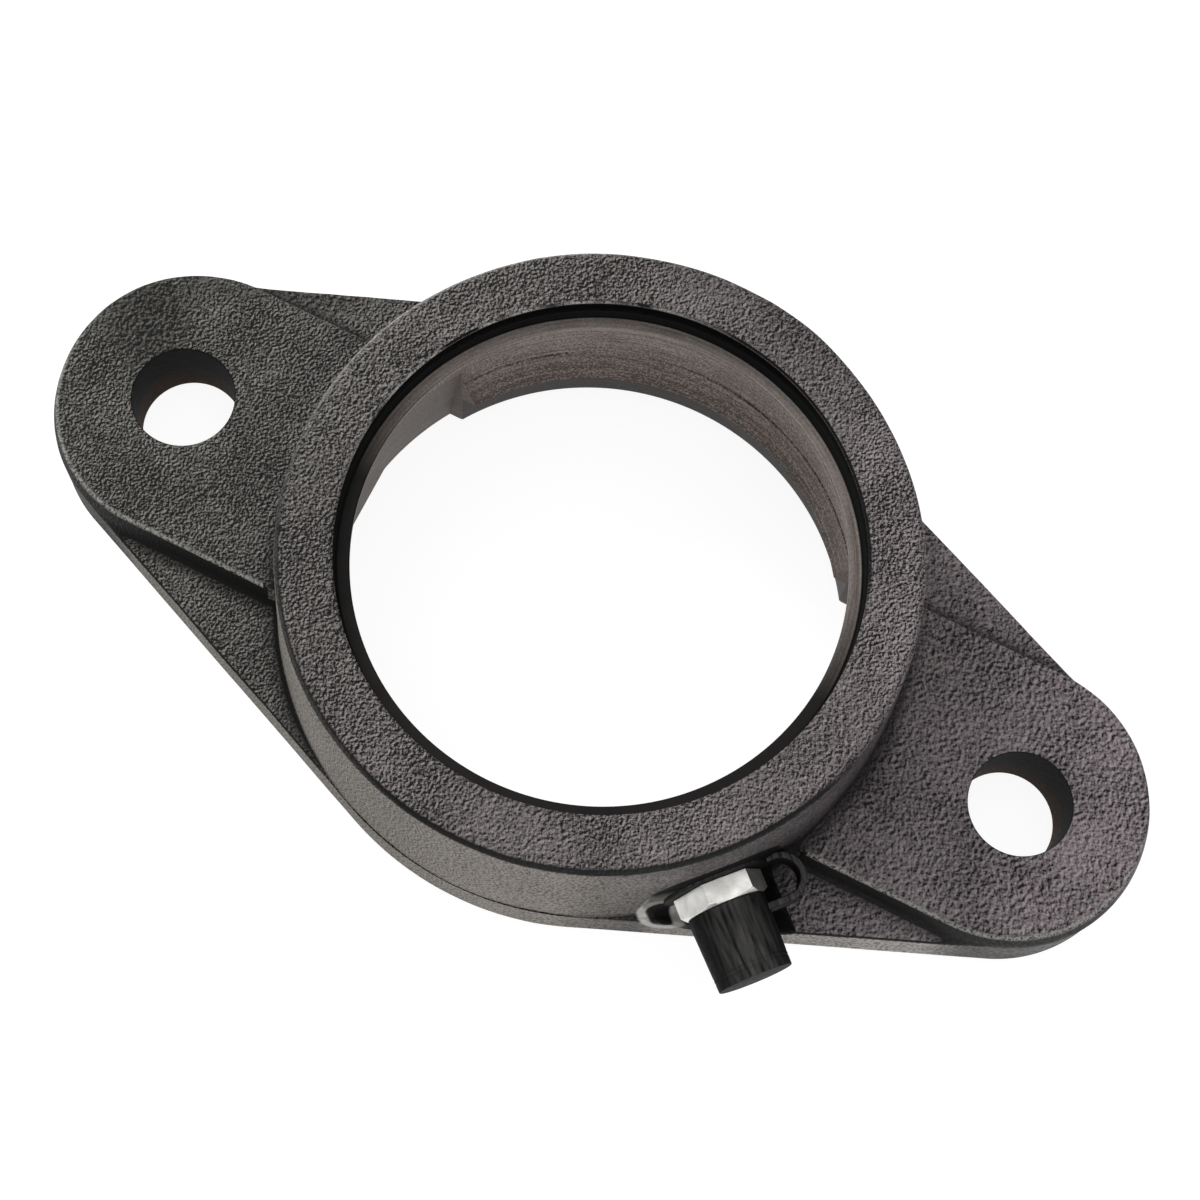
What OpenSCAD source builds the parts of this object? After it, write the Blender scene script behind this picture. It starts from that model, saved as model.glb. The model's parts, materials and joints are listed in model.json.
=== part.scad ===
// Housing of a two-bolt flange bearing, with its grease nipple and tethered dust cap. Millimetres, +Z up.
// The origin is on the mounting face, on the axis of the bore. +Z runs out of the front face and +X along the bolts.

/* [Flange] */
// Distance between the two bolt holes
bolt_spacing = 130; // [116:1:146]
// Diameter of each bolt hole
bolt_hole_d = 14.5; // [10:0.5:18]
// Radius of each ear at its foot
ear_r = 20.3; // [16:0.1:24]
// How far the middle of each ear lies inside its bolt hole
ear_inset = 1.9; // [0:0.1:4]
// Thickness of the flange beside the raised band
web_h = 9; // [7:0.5:11]
// Height of the raised band that carries the bolt holes
band_h = 13; // [12:0.5:16]
// How far the sides of the raised band lean in
band_lean = 0.5; // [0.2:0.1:1]
// Rounding of the mouth of each bolt hole
hole_edge_r = 0.3; // [0.2:0.1:1.2]
// Rounding of the cast top edges of flange and band
cast_edge_r = 0.7; // [0.4:0.1:1.6]
// Rounding in the cast inside corners
root_r = 1.5; // [1:0.1:3.2]

/* [Ring] */
// Height of the ring's front face above the mounting face
ring_h = 34; // [32:0.5:40]
// Diameter of the ring at its foot
ring_foot_d = 88.6; // [86:0.2:96]
// How far the ring's wall leans in from the flange to the front face
ring_lean = 1.3; // [0.5:0.1:2]
// Rounding of the ring's outer front edge
ring_edge_r = 1.6; // [1:0.1:4]

/* [Seat] */
// Diameter of the spherical seat
seat_d = 72; // [68:0.5:74]
// Height of the seat's centre above the mounting face
seat_h = 19; // [18:0.5:20]
// How far the seat runs from its centre towards the back
seat_back = 10.7; // [9:0.1:13]
// How far the shoulder in front of the seat stands in from the seat's front edge
shoulder_step = 1.5; // [0.5:0.1:1.8]
// Thickness of the shoulder
shoulder_t = 1; // [0.6:0.1:1.4]
// Step from the shoulder's inner edge out to the mouth
mouth_step = 2; // [1:0.1:2.4]
// Height of the mouth's wall between the shoulder and the groove behind the lip
mouth_wall = 1.2; // [0.4:0.1:1.6]
// Thickness of the lip round the mouth
lip_t = 0.8; // [0.5:0.1:1.2]
// Width of the groove behind the lip
lip_groove_w = 2.4; // [1:0.1:2.8]
// Depth of the groove behind the lip
lip_groove_depth = 1.2; // [0.5:0.1:1.6]
// Step from the seat's back edge out to the back relief
relief_step = 1.8; // [1:0.1:3]
// Width of the two slots through which the insert is loaded
slot_w = 38.6; // [30:0.2:42]
// Depth of a loading slot behind the seat, at the flat at its end
slot_depth = 1.3; // [0.8:0.1:2]
// Depth of the sides of a loading slot behind the seat, at the mounting face
slot_mouth = 2; // [1:0.1:3]
// Depth of the sides of a loading slot behind the seat, at the seat's centre
slot_root = 0.3; // [0.1:0.1:0.8]
// Radius of the fine grease groove in the seat
grease_groove_r = 0.3; // [0.2:0.1:0.8]

/* [Grease nipple] */
// Angle of the nipple below the bolt line, seen from the front
nipple_angle = 42; // [35:1:55]
// Height of the nipple's axis above the mounting face
nipple_h = 15; // [14.5:0.5:18]
// Diameter of the flat that is spot-faced into the ring and the flange's edge for the nipple
spot_d = 21; // [19:0.5:22]
// Depth of the flat below the ring's wall
spot_depth = 1.3; // [1:0.1:1.6]
// Diameter of the nipple's thread
thread_d = 9.7; // [8:0.1:10]
// Depth of the threaded hole below the flat
thread_depth = 4.8; // [4:0.1:5.2]
// Width across the flats of the hexagon
hex_af = 11; // [10:0.1:13]
// Thickness of the hexagon
hex_t = 3.2; // [2.5:0.1:4.5]
// Turn of the hexagon from flat side up
hex_turn = 4; // [0:1:29]
// Largest diameter of the nipple's head
head_d = 6.5; // [6:0.1:7]
// Diameter of the neck below the head
neck_d = 5.2; // [4.8:0.1:5.4]
// Length of the head and neck outside the hexagon
head_l = 7; // [6.6:0.1:7.4]
// Diameter of the oil hole from the thread to the seat
oil_hole_d = 4; // [3:0.1:5]
// Diameter of the check ball
ball_d = 3; // [2.6:0.1:3.2]

/* [Dust cap] */
// Outer diameter of the cap at its mouth
cap_d = 11; // [10:0.1:13]
// Taper of the cap's diameter over its length
cap_taper = 0.6; // [0:0.1:1]
// Length of the cap
cap_l = 10.2; // [9.2:0.1:12]
// Thickness of the ring that holds the cap, between the flat and the hexagon
cap_ring_t = 1; // [0.8:0.1:1.4]
// Outer diameter of the ring that holds the cap
cap_ring_d = 15; // [14:0.1:18]
// Width of the strap
strap_w = 4; // [3:0.1:5]
// Thickness of the strap
strap_t = 1; // [0.7:0.1:1.2]
// Radius of the strap's bend, at the middle of its thickness
strap_bend_r = 3; // [2.6:0.1:3.4]

/* [Hidden] */
$fn = 96;
eps = 0.01;

// Flange
ear_x = bolt_spacing / 2 - ear_inset;
ring_foot_r = ring_foot_d / 2;
tangent_angle = acos((ring_foot_r - ear_r) / ear_x);
tangent_l = sqrt(ear_x * ear_x - (ring_foot_r - ear_r) * (ring_foot_r - ear_r));
bar_w = ear_r * 0.6;

// Ring: the wall leans at one angle from the flange to the front
ring_slope = ring_lean / (ring_h - web_h);
function ring_wall(z) = ring_foot_r - ring_slope * (z - web_h);

// Seat
seat_r = seat_d / 2;
lip_z = ring_h - lip_t;
groove_z = lip_z - lip_groove_w;
shoulder_z = groove_z - mouth_wall;
seat_front_z = shoulder_z - shoulder_t;
seat_back_z = seat_h - seat_back;
function seat_at(z) = sqrt(seat_r * seat_r - (z - seat_h) * (z - seat_h));
shoulder_r = seat_at(seat_front_z) - shoulder_step;
mouth_r = shoulder_r + mouth_step;
relief_r = seat_at(seat_back_z) + relief_step;
slot_x = seat_r + slot_depth;
function slot_r(z) = seat_r + slot_mouth + (slot_root - slot_mouth) * z / seat_h;

// Nipple: distances along its axis count outwards from the hexagon's inner face
flat_r = ring_wall(nipple_h) - spot_depth;
ring_play = 0.1;
hex_r = flat_r + cap_ring_t + ring_play;
shank_end = flat_r - hex_r - thread_depth;
fit_gap = 0.05;
neck_l = 1.4;
head_z = hex_t + neck_l;
tip_z = hex_t + head_l;
tip_r = 1.8;
tip_hole_r = 1.1;
tip_wall = 0.7;
chamber_r = ball_d / 2 + 0.3;
crimp_z = shank_end + 1;
ball_gap = 0.03;
ball_reach = sqrt(pow(ball_d / 2 + ball_gap, 2) - tip_hole_r * tip_hole_r);
ball_z = tip_z - tip_wall - ball_reach;

// Spring
wire_r = 0.2;
coil_r = chamber_r - wire_r - 0.2;
spring_z0 = crimp_z + wire_r;
spring_z1 = ball_z - sqrt(pow(ball_d / 2 + wire_r + 0.08, 2) - coil_r * coil_r);
spring_turns = 9;
turn_steps = 16;
wire_sides = 6;

// Cap, strap and cap ring
cap_gap = 0.15;
cap_z = hex_t + 0.1;
cap_bore_r = head_d / 2 + 0.08;
cap_end_r = cap_d / 2 - cap_taper / 2;
strap_z0 = flat_r - hex_r + cap_ring_t / 2;
strap_z1 = strap_z0 + 2 * strap_bend_r;
strap_x = cap_ring_d / 2 + 0.7;

// Half outline of a wall that stands straight to a knee, leans in above it and ends in a rounded top edge
module leaning_half(foot, lean, knee, top, edge) {
    angle = atan2(lean, top - knee);
    edge_z = top - edge;
    edge_x = foot - lean * (edge_z - knee) / (top - knee) - edge / cos(angle);
    polygon([
        [0, 0],
        [foot, 0],
        [foot, knee],
        [edge_x + edge * cos(angle), edge_z + edge * sin(angle)],
        [edge_x, top],
        [0, top]
    ]);
    translate([edge_x, edge_z])
        circle(r = edge);
}

// Section of the hollow rounding between a wall at distance w and a floor at height z
module hollow_corner(w, z, r, angle) {
    cx = w - r * tan(angle) + r / cos(angle);
    cz = z + r;
    difference() {
        polygon([
            [w - r, z - eps],
            [cx, z - eps],
            [cx, z],
            [cx - r * cos(angle), cz - r * sin(angle)],
            [w - r, cz - r * sin(angle)]
        ]);
        translate([cx, cz])
            circle(r = r);
    }
}

// Outline of the flange, drawn in by a margin: the ring's foot, two ears and the straight tangents between them
module flange_outline(margin) {
    nx = cos(tangent_angle);
    ny = sin(tangent_angle);
    big = ring_foot_r - margin;
    small = ear_r - margin;
    circle(r = big);
    for (side = [0, 1])
        mirror([side, 0]) {
            translate([ear_x, 0])
                circle(r = small);
            polygon([
                [big * nx, big * ny],
                [ear_x + small * nx, small * ny],
                [ear_x + small * nx, -small * ny],
                [big * nx, -big * ny]
            ]);
        }
}

// Strip along the flange's edge, with its outer side at distance foot and a rounded top edge
module edge_strip(foot) {
    translate([foot - bar_w, 0])
        leaning_half(bar_w, 0, 0, web_h, cast_edge_r);
}

// Flange with a rounded top edge all round: the edge runs along arcs of the ring's foot and the ears, and along the
// straight tangents between them
module flange() {
    linear_extrude(web_h)
        flange_outline(bar_w / 2);
    for (face = [0, 1])
        mirror([0, face, 0]) {
            rotate([0, 0, tangent_angle])
                rotate_extrude(angle = 180 - 2 * tangent_angle)
                    edge_strip(ring_foot_r);
            for (side = [0, 1])
                mirror([side, 0, 0]) {
                    translate([ear_x, 0, 0])
                        rotate_extrude(angle = tangent_angle)
                            edge_strip(ear_r);
                    rotate([0, 0, tangent_angle])
                        rotate([90, 0, 0])
                            linear_extrude(tangent_l)
                                edge_strip(ring_foot_r);
                }
        }
}

// Raised band from ear to ear, with a hollow corner along its foot
module band() {
    for (side = [0, 1])
        mirror([side, 0, 0])
            translate([ear_x, 0, 0])
                rotate_extrude()
                    leaning_half(ear_r, band_lean, web_h, band_h, cast_edge_r);
    rotate([90, 0, 90])
        linear_extrude(2 * ear_x, center = true)
            for (side = [0, 1])
                mirror([side, 0])
                    leaning_half(ear_r, band_lean, web_h, band_h, cast_edge_r);
    intersection() {
        rotate([90, 0, 90])
            linear_extrude(2 * ear_x, center = true)
                for (side = [0, 1])
                    mirror([side, 0])
                        hollow_corner(ear_r, web_h, root_r, atan2(band_lean, band_h - web_h));
        linear_extrude(band_h)
            flange_outline(cast_edge_r);
    }
}

// Ring with hollow corners where it stands on the flange and on the band
module ring() {
    angle = atan(ring_slope);
    rotate_extrude()
        leaning_half(ring_foot_r, ring_lean, web_h, ring_h, ring_edge_r);
    intersection() {
        rotate_extrude()
            hollow_corner(ring_foot_r, web_h, root_r, angle);
        linear_extrude(ring_h)
            flange_outline(cast_edge_r);
    }
    intersection() {
        rotate_extrude()
            hollow_corner(ring_wall(band_h), band_h, root_r, angle);
        translate([-ear_x, -ear_r + band_lean + cast_edge_r, 0])
            cube([2 * ear_x, 2 * (ear_r - band_lean - cast_edge_r), ring_h]);
    }
}

// Bolt hole with a soft cast mouth
module bolt_hole() {
    hole_r = bolt_hole_d / 2;
    translate([0, 0, -1])
        cylinder(r = hole_r, h = band_h + 2);
    rotate_extrude()
        difference() {
            translate([hole_r - 1, band_h - hole_edge_r])
                square([hole_edge_r + 1, hole_edge_r + 1]);
            translate([hole_r + hole_edge_r, band_h - hole_edge_r])
                circle(r = hole_edge_r);
        }
}

// Everything turned in the bore: spherical seat, its grease groove, shoulder, grooved mouth and back relief
module bore() {
    intersection() {
        translate([0, 0, seat_h])
            sphere(r = seat_r);
        translate([0, 0, seat_back_z - 1])
            cylinder(r = seat_r + 1, h = seat_front_z - seat_back_z + 1);
    }
    rotate_extrude()
        translate([seat_at(nipple_h), nipple_h])
            circle(r = grease_groove_r);
    translate([0, 0, seat_h])
        cylinder(r = shoulder_r, h = ring_h);
    translate([0, 0, shoulder_z])
        cylinder(r = mouth_r, h = ring_h);
    translate([0, 0, groove_z])
        cylinder(r = mouth_r + lip_groove_depth, h = lip_groove_w);
    translate([0, 0, -1])
        cylinder(r = relief_r, h = seat_back_z + 1);
}

// Two slots, open to the back, that let an insert in edgeways up to the seat's centre
module loading_slots() {
    intersection() {
        translate([0, 0, -1])
            cylinder(r1 = slot_r(-1), r2 = slot_r(seat_h), h = seat_h + 1);
        translate([-slot_x, -slot_w / 2, -2])
            cube([2 * slot_x, slot_w, seat_h + 3]);
    }
}

// Puts a shape drawn along +Z on the nipple's axis, starting at the hexagon's inner face
module on_nipple() {
    rotate([0, 0, -nipple_angle])
        translate([hex_r, 0, nipple_h])
            rotate([0, 90, 0])
                children();
}

// Spot-faced flat, threaded hole and oil hole for the nipple
module nipple_hole() {
    on_nipple() {
        translate([0, 0, flat_r - hex_r])
            cylinder(d = spot_d, h = 12);
        translate([0, 0, shank_end])
            cylinder(d = thread_d + 2 * fit_gap, h = 10);
        translate([0, 0, shank_end - 10])
            cylinder(d = oil_hole_d, h = 11);
    }
}

module housing() {
    color("#2e2d2c")
        difference() {
            union() {
                flange();
                band();
                ring();
            }
            for (side = [-1, 1])
                translate([side * bolt_spacing / 2, 0, 0])
                    bolt_hole();
            bore();
            loading_slots();
            nipple_hole();
        }
}

// Nipple: chamfered shank, hexagon, neck and conical head, bored for the ball and its spring
module nipple_body() {
    color("#c4c4c0")
        on_nipple()
            difference() {
                union() {
                    translate([0, 0, shank_end])
                        cylinder(d1 = thread_d - 1.2, d2 = thread_d, h = 0.6);
                    translate([0, 0, shank_end + 0.6])
                        cylinder(d = thread_d, h = -shank_end - 0.6 + eps);
                    intersection() {
                        rotate([0, 0, 30 - hex_turn])
                            cylinder(d = hex_af / cos(30), h = hex_t, $fn = 6);
                        cylinder(r1 = hex_af / 2 + hex_t * 1.6, r2 = hex_af / 2 - 0.1, h = hex_t);
                    }
                    rotate_extrude()
                        polygon([
                            [0, 0],
                            [neck_d / 2, 0],
                            [neck_d / 2, head_z],
                            [head_d / 2, head_z + 0.6],
                            [head_d / 2, head_z + 1.5],
                            [tip_r, tip_z],
                            [0, tip_z]
                        ]);
                }
                rotate_extrude()
                    polygon([
                        [0, shank_end - 1],
                        [chamber_r - 0.5, shank_end - 1],
                        [chamber_r - 0.5, crimp_z],
                        [chamber_r, crimp_z],
                        [chamber_r, tip_z - tip_wall - chamber_r + tip_hole_r],
                        [tip_hole_r, tip_z - tip_wall],
                        [tip_hole_r, tip_z + 1],
                        [0, tip_z + 1]
                    ]);
            }
}

module check_ball() {
    color("#d8d8d8")
        on_nipple()
            translate([0, 0, ball_z])
                sphere(d = ball_d);
}

// One point of the spring's wire: i counts along the coil and j round the wire
function coil_point(i, j) =
    let (
        turn = 360 * i / turn_steps,
        round_wire = 360 * j / wire_sides,
        out = coil_r + wire_r * cos(round_wire),
        up = spring_z0 + (spring_z1 - spring_z0) * i / (spring_turns * turn_steps)
    )
    [out * cos(turn), out * sin(turn), up + wire_r * sin(round_wire)];

module check_spring() {
    last = spring_turns * turn_steps;
    color("#a8a8a4")
        on_nipple()
            polyhedron(
                points = [for (i = [0:last]) for (j = [0:wire_sides - 1]) coil_point(i, j)],
                faces = concat(
                    [[for (j = [0:wire_sides - 1]) j]],
                    [for (i = [0:last - 1]) for (j = [0:wire_sides - 1])
                        let (a = i * wire_sides, b = a + wire_sides, k = (j + 1) % wire_sides)
                        [a + j, b + j, b + k]],
                    [for (i = [0:last - 1]) for (j = [0:wire_sides - 1])
                        let (a = i * wire_sides, b = a + wire_sides, k = (j + 1) % wire_sides)
                        [a + j, b + k, a + k]],
                    [[for (j = [wire_sides - 1:-1:0]) last * wire_sides + j]]
                )
            );
}

// Cap: a tapered cup with a chamfered end and a shallow line near it
module dust_cap() {
    end_z = cap_z + cap_l;
    bevel = 0.8;
    line_z = end_z - 1.7;
    color("#17181a")
        on_nipple()
            difference() {
                rotate_extrude()
                    polygon([
                        [0, cap_z],
                        [cap_d / 2, cap_z],
                        [cap_end_r, line_z],
                        [cap_end_r - 0.25, line_z],
                        [cap_end_r - 0.3, end_z - bevel],
                        [cap_end_r - 0.3 - bevel, end_z],
                        [0, end_z]
                    ]);
                translate([0, 0, cap_z - 1])
                    cylinder(r = cap_bore_r, h = tip_z - cap_z + 1.4);
            }
}

// Strap: a flat band that leaves the ring, turns back in a half circle and ends at the cap's side
module cap_strap() {
    color("#17181a")
        on_nipple()
            difference() {
                rotate([90, 0, 90])
                    linear_extrude(strap_w, center = true) {
                        translate([0, strap_z0 - strap_t / 2])
                            square([strap_x, strap_t]);
                        translate([0, strap_z1 - strap_t / 2])
                            square([strap_x, strap_t]);
                        difference() {
                            translate([strap_x, strap_z0 + strap_bend_r])
                                circle(r = strap_bend_r + strap_t / 2);
                            translate([strap_x, strap_z0 + strap_bend_r])
                                circle(r = strap_bend_r - strap_t / 2);
                            translate([0, strap_z0 - strap_t])
                                square([strap_x, strap_z1 - strap_z0 + 2 * strap_t]);
                        }
                    }
                translate([0, 0, strap_z0 - strap_t])
                    cylinder(d = cap_ring_d, h = 2 * strap_t);
                cylinder(r = cap_d / 2 + cap_gap, h = tip_z + cap_l);
            }
}

module cap_ring() {
    color("#17181a")
        on_nipple()
            translate([0, 0, flat_r - hex_r])
                difference() {
                    cylinder(d = cap_ring_d, h = cap_ring_t);
                    translate([0, 0, -1])
                        cylinder(d = thread_d + 2 * fit_gap, h = cap_ring_t + 2);
                }
}

housing();
nipple_body();
check_ball();
check_spring();
dust_cap();
cap_strap();
cap_ring();
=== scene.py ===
import json
import math

import bpy
import numpy as np
from mathutils import Matrix, Vector


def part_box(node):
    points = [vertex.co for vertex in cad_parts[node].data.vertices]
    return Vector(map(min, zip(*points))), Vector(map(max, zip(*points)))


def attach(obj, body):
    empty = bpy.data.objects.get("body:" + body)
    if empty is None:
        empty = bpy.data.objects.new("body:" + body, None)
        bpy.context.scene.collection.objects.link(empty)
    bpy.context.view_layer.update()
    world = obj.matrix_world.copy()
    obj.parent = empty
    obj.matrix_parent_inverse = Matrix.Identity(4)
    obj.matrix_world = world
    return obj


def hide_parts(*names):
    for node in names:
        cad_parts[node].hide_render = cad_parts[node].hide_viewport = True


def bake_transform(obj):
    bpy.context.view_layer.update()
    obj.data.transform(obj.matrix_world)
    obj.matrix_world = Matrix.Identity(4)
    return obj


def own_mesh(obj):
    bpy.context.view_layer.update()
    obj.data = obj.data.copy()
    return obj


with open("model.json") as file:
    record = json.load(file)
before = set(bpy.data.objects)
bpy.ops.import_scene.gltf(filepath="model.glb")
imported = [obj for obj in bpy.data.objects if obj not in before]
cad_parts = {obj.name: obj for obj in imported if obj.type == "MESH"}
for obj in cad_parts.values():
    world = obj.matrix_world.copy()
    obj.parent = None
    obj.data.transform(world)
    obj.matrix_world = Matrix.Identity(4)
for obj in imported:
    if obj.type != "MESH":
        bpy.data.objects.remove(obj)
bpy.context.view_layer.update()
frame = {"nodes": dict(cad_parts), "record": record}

# Sizes in millimetres, taken from the frame where it holds them
MM = 0.001
mounts = {m["name"]: m for m in frame["record"]["mounts"]}
housing_high = np.array(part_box("housing")[1]) / MM
BOLT_X = mounts["mounting_bolts"]["dims"]["spacing_x_mm"] / 2
BOLT_HOLE_R = mounts["mounting_bolts"]["dims"]["hole_r_mm"]
EAR_R = 20.3
EAR_X = housing_high[0] - EAR_R
WEB_H = 9.0
BAND_H = 13.0
BAND_LEAN = 0.5
EDGE_R = 0.7
HOLE_EDGE_R = 0.3
ROOT_R = 1.5
RING_H = housing_high[2]
RING_FOOT_R = 44.3
RING_LEAN = 1.3
RING_EDGE_R = 1.6
RING_SLOPE = RING_LEAN / (RING_H - WEB_H)
SEAT_R = 36.0
SEAT_Z = mounts["bearing_seat"]["pos_m"][2] / MM
SEAT_BACK_Z = 8.3
SEAT_FRONT_Z = 28.6
GREASE_GROOVE_R = 0.3
SHOULDER_R = 33.2
SHOULDER_Z = 29.6
MOUTH_R = 35.2
LIP_GROOVE_R = 36.4
LIP_GROOVE_Z = (30.8, 33.2)
RELIEF_R = 36.17
SLOT_HALF_W = 19.3
SLOT_X = 37.3
SLOT_MOUTH_R = 38.0
SLOT_ROOT_R = 36.3
BREAK = 0.15

# The nipple's axis: distances along it count outwards from the hexagon's inner face
NIPPLE_OUT = np.array(mounts["grease_nipple"]["axis"])
NIPPLE_SIDE = np.array([-NIPPLE_OUT[1], NIPPLE_OUT[0], 0.0])
NIPPLE_UP = np.array([0.0, 0.0, 1.0])
NIPPLE_Z = mounts["grease_nipple"]["pos_m"][2] / MM
TIP_R = math.hypot(*mounts["grease_nipple"]["pos_m"][:2]) / MM
TIP = 10.2
HEX_R = TIP_R - TIP
FLAT = -1.1
SPOT_R = 10.5
THREAD_R = 4.9
THREAD_END = -5.9
OIL_HOLE_R = 2.0
SPRING_ENDS = (-4.7, 7.338)
SPRING_R = 1.4
WIRE_R = 0.2
SPRING_TURNS = 9
STEPS_PER_TURN = 28
WIRE_SIDES = 10
CAP_MOUTH = 3.3
CAP_END = 13.5
CAP_R = 5.5
CAP_END_R = 5.2
CAP_BORE_R = 3.33
CAP_BORE_END = 10.6
CAP_POLE_R = 0.4
CAP_EDGE_R = 0.12
CAP_LINES = (1.9, 1.3)
CAP_LINE_W = 0.14
CAP_RING_R = 7.5
STRAP_W = 4.0
STRAP_T = 1.0
STRAP_EDGE_R = 0.3
STRAP_LOW = -0.6
STRAP_BEND_R = 3.0
STRAP_HIGH = STRAP_LOW + 2 * STRAP_BEND_R
STRAP_OUT = CAP_RING_R + 0.7

# Steps of the casting's surface, cell and depth of its waves and pebbles, and sharp edges in degrees
FACE_STEPS = 30
ARC_STEPS = 24
WALL_STEPS = 60
FLOOR_STEPS = 500
FOOT_STEPS = 4
TURN_WEIGHT = 1.8
QUARTER_COLUMNS = (74, 4, 70)
SKIN_ROWS = 103
SLOT_SIDE_DEGREES = (31.0, 33.5)
BACK_ROWS = 6
WAVE = (11.0, 0.22)
PEBBLE = (2.4, 0.06)
NOISE_CELLS = 32
CAST_SHARP = 38
MOULDED_SHARP = 50


def on_nipple(side, up, out):
    """Points given across, above and along the nipple's axis, moved to their place in the frame."""
    base = np.array([0.0, 0.0, NIPPLE_Z])
    parts = (np.asarray(side)[..., None] * NIPPLE_SIDE, np.asarray(up)[..., None] * NIPPLE_UP)
    return base + parts[0] + parts[1] + (HEX_R + np.asarray(out))[..., None] * NIPPLE_OUT


def grid_quads(index):
    """The quads between neighbouring rows and columns of a grid of point numbers."""
    corners = (index[:-1, :-1], index[:-1, 1:], index[1:, 1:], index[1:, :-1])
    return np.stack(corners, axis=-1).reshape(-1, 4)


def grid_mesh(name, points, round_rows=False, round_columns=False):
    """A mesh of quads over a grid of points in millimetres; a direction that is round closes on itself."""
    rows, columns = points.shape[:2]
    index = np.arange(rows * columns).reshape(rows, columns)
    if round_rows:
        index = np.vstack([index, index[:1]])
    if round_columns:
        index = np.hstack([index, index[:, :1]])
    return surface_mesh(name, points.reshape(-1, 3), grid_quads(index))


def surface_mesh(name, points, quads, caps=()):
    """A named object from points in millimetres, quads and any end caps, with its faces turned outwards."""
    a, b, c, d = (points[quads[:, k]] for k in range(4))
    if np.einsum("ij,ij->i", a + b + c + d, np.cross(c - a, d - b)).sum() < 0:
        quads = quads[:, ::-1]
        caps = [cap[::-1] for cap in caps]
    mesh = bpy.data.meshes.new(name)
    faces = quads.tolist() + [list(cap) for cap in caps]
    mesh.from_pydata((points * MM).tolist(), [], faces)
    mesh.validate()
    mesh.shade_smooth()
    piece = bpy.data.objects.new(name, mesh)
    bpy.context.scene.collection.objects.link(piece)
    return piece


def capped_tube(name, points):
    """A grid of points whose rows are closed rings, with a flat cap on the first ring and on the last."""
    rows, columns = points.shape[:2]
    index = np.arange(rows * columns).reshape(rows, columns)
    quads = grid_quads(np.hstack([index, index[:, :1]]))
    return surface_mesh(name, points.reshape(-1, 3), quads, [index[0][::-1], index[-1]])


def turned_piece(name, profile, sides=96):
    """A profile of (radius, distance) points carried round the nipple's axis, with a flat cap on both
    ends."""
    radius, out = np.array(profile).T
    angle = np.linspace(0, 2 * np.pi, sides, endpoint=False)
    points = on_nipple(np.outer(radius, np.cos(angle)), np.outer(radius, np.sin(angle)),
                       np.repeat(out[:, None], sides, axis=1))
    return capped_tube(name, points)


# Housing: a profile that changes with the angle is carried round the bore
def ring_wall(z):
    """Radius of the leaning wall of the ring at a height."""
    return RING_FOOT_R - RING_SLOPE * (z - WEB_H)


TANGENT = math.acos((RING_FOOT_R - EAR_R) / EAR_X)
EAR_TANGENT = math.atan2(EAR_R * math.sin(TANGENT), EAR_X + EAR_R * math.cos(TANGENT))


def flange_edge(angle):
    """Distance from the bore's axis to the flange's edge in the first quarter: the ear's arc near the bolt
    line, then the straight tangent, then the foot of the ring."""
    ear = EAR_X * np.cos(angle) + np.sqrt(np.maximum(EAR_R**2 - (EAR_X * np.sin(angle))**2, 0))
    tangent = RING_FOOT_R / np.cos(np.minimum(np.abs(TANGENT - angle), 1.2))
    return np.where(angle < EAR_TANGENT, ear, np.where(angle < TANGENT, tangent, RING_FOOT_R))


def beyond_band(x, y):
    """Distance outside the edge of the raised band, whose ends are round: negative on the band."""
    return np.hypot(x - np.clip(x, -EAR_X, EAR_X), y) - EAR_R


def flange_top(x, y, to_edge, open_edge):
    """Height of the flange's top: the band with a rounded edge and a hollow foot on the web, and the rounding
    of the flange's own edge where the web is open there."""
    beyond = beyond_band(x, y)
    into = np.clip(beyond + BAND_LEAN + EDGE_R, 0, EDGE_R)
    crown = BAND_H - EDGE_R + np.sqrt(EDGE_R**2 - into**2)
    foot = WEB_H + ROOT_R - np.sqrt(ROOT_R**2 - (ROOT_R - np.clip(beyond, 0, ROOT_R))**2)
    lean = np.clip(1 + beyond / BAND_LEAN, 0, 1)
    side = (1 - lean) * (BAND_H - EDGE_R) + lean * (WEB_H + ROOT_R)
    top = np.where(beyond < -BAND_LEAN, crown, np.where(beyond < 0, side, foot))
    near = EDGE_R - np.clip(to_edge, 0, EDGE_R)
    return top - open_edge * (EDGE_R - np.sqrt(EDGE_R**2 - near**2))


def blend_steps(parts):
    """Joins pieces of a profile, each a pair of (radius, height) arrays with one row per angle."""
    return [np.concatenate([part[k] for part in parts], axis=1) for k in (0, 1)]


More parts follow.
